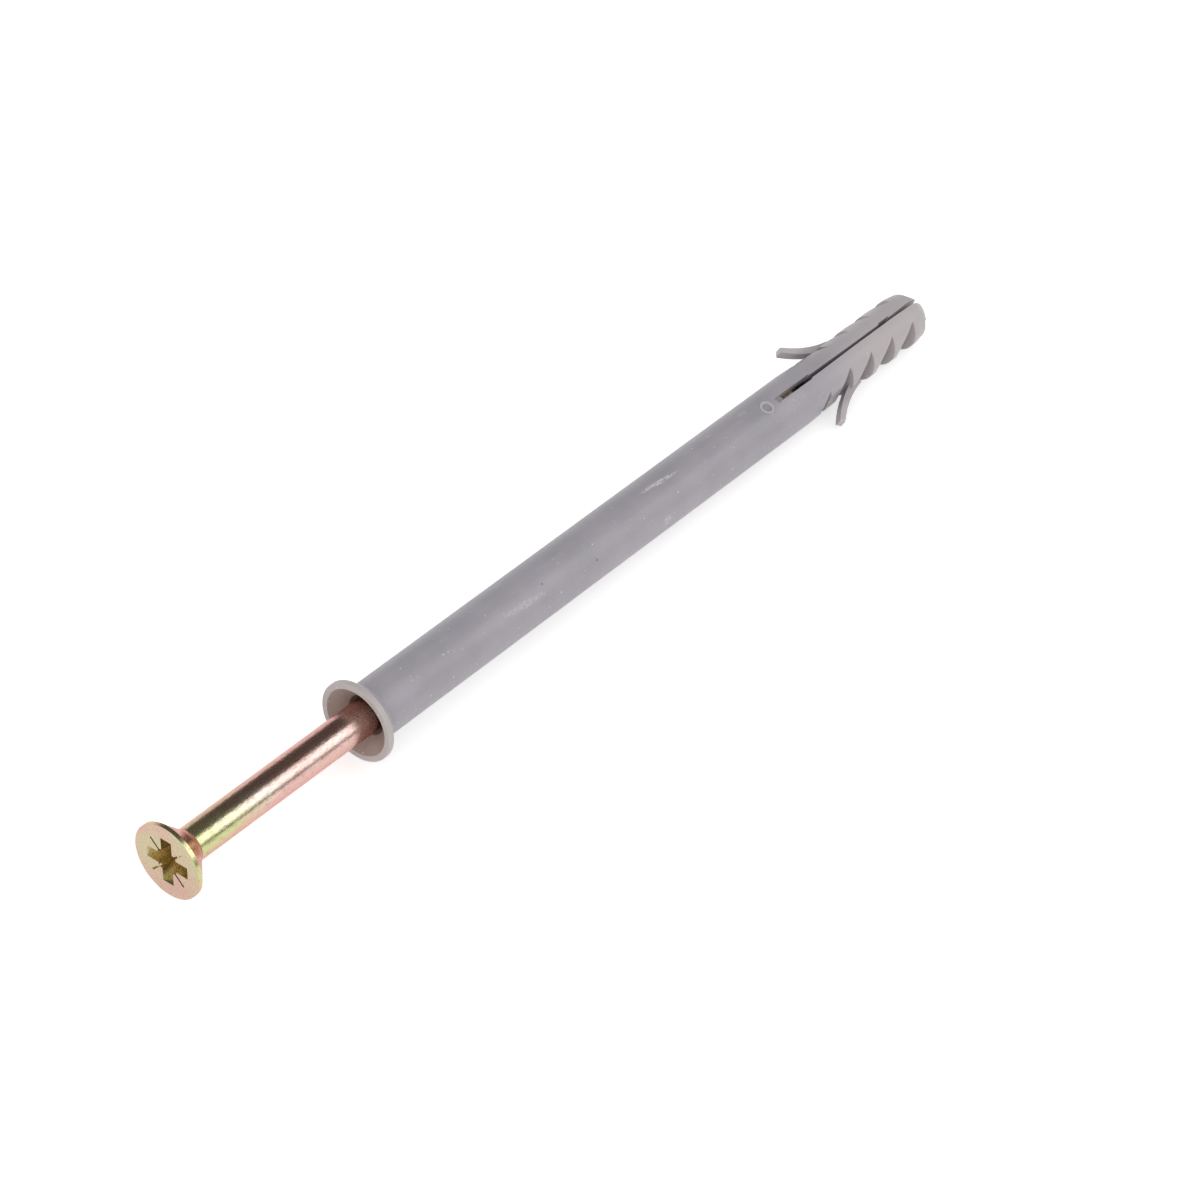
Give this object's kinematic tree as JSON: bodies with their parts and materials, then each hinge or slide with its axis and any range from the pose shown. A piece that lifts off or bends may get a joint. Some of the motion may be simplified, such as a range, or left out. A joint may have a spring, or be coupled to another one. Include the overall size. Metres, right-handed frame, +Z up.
{
  "type": "hammer fixing",
  "caption": "Nylon hammer fixing: a slit, toothed and barbed sleeve with a flared collar, and a countersunk steel screw nail part way in that drives home along the bore.",
  "frame": {"origin": "middle of the length and width, on the surface the fixing lies on", "axes": "+X along the fixing from the screw head to the sleeve's tip, about one degree below level towards the tip; +Z up, away from the surface it lies on; +Y to the left of the direction from head to tip"},
  "size_m": [0.1547, 0.013, 0.0119],
  "materials": {
    "grey_nylon": "satin moulded nylon",
    "yellow_zinc_steel": "yellow passivated zinc plating"
  },
  "bodies": {
    "sleeve": {"sleeve": "grey_nylon"},
    "screw": {"screw": "yellow_zinc_steel"}
  },
  "joints": [
    {"name": "screw_drive", "type": "slide", "parent": "sleeve", "child": "screw", "axis": [0.9998, 0, -0.0173], "range_m": [0, 0.03345], "deforming": ["sleeve"]}
  ]
}
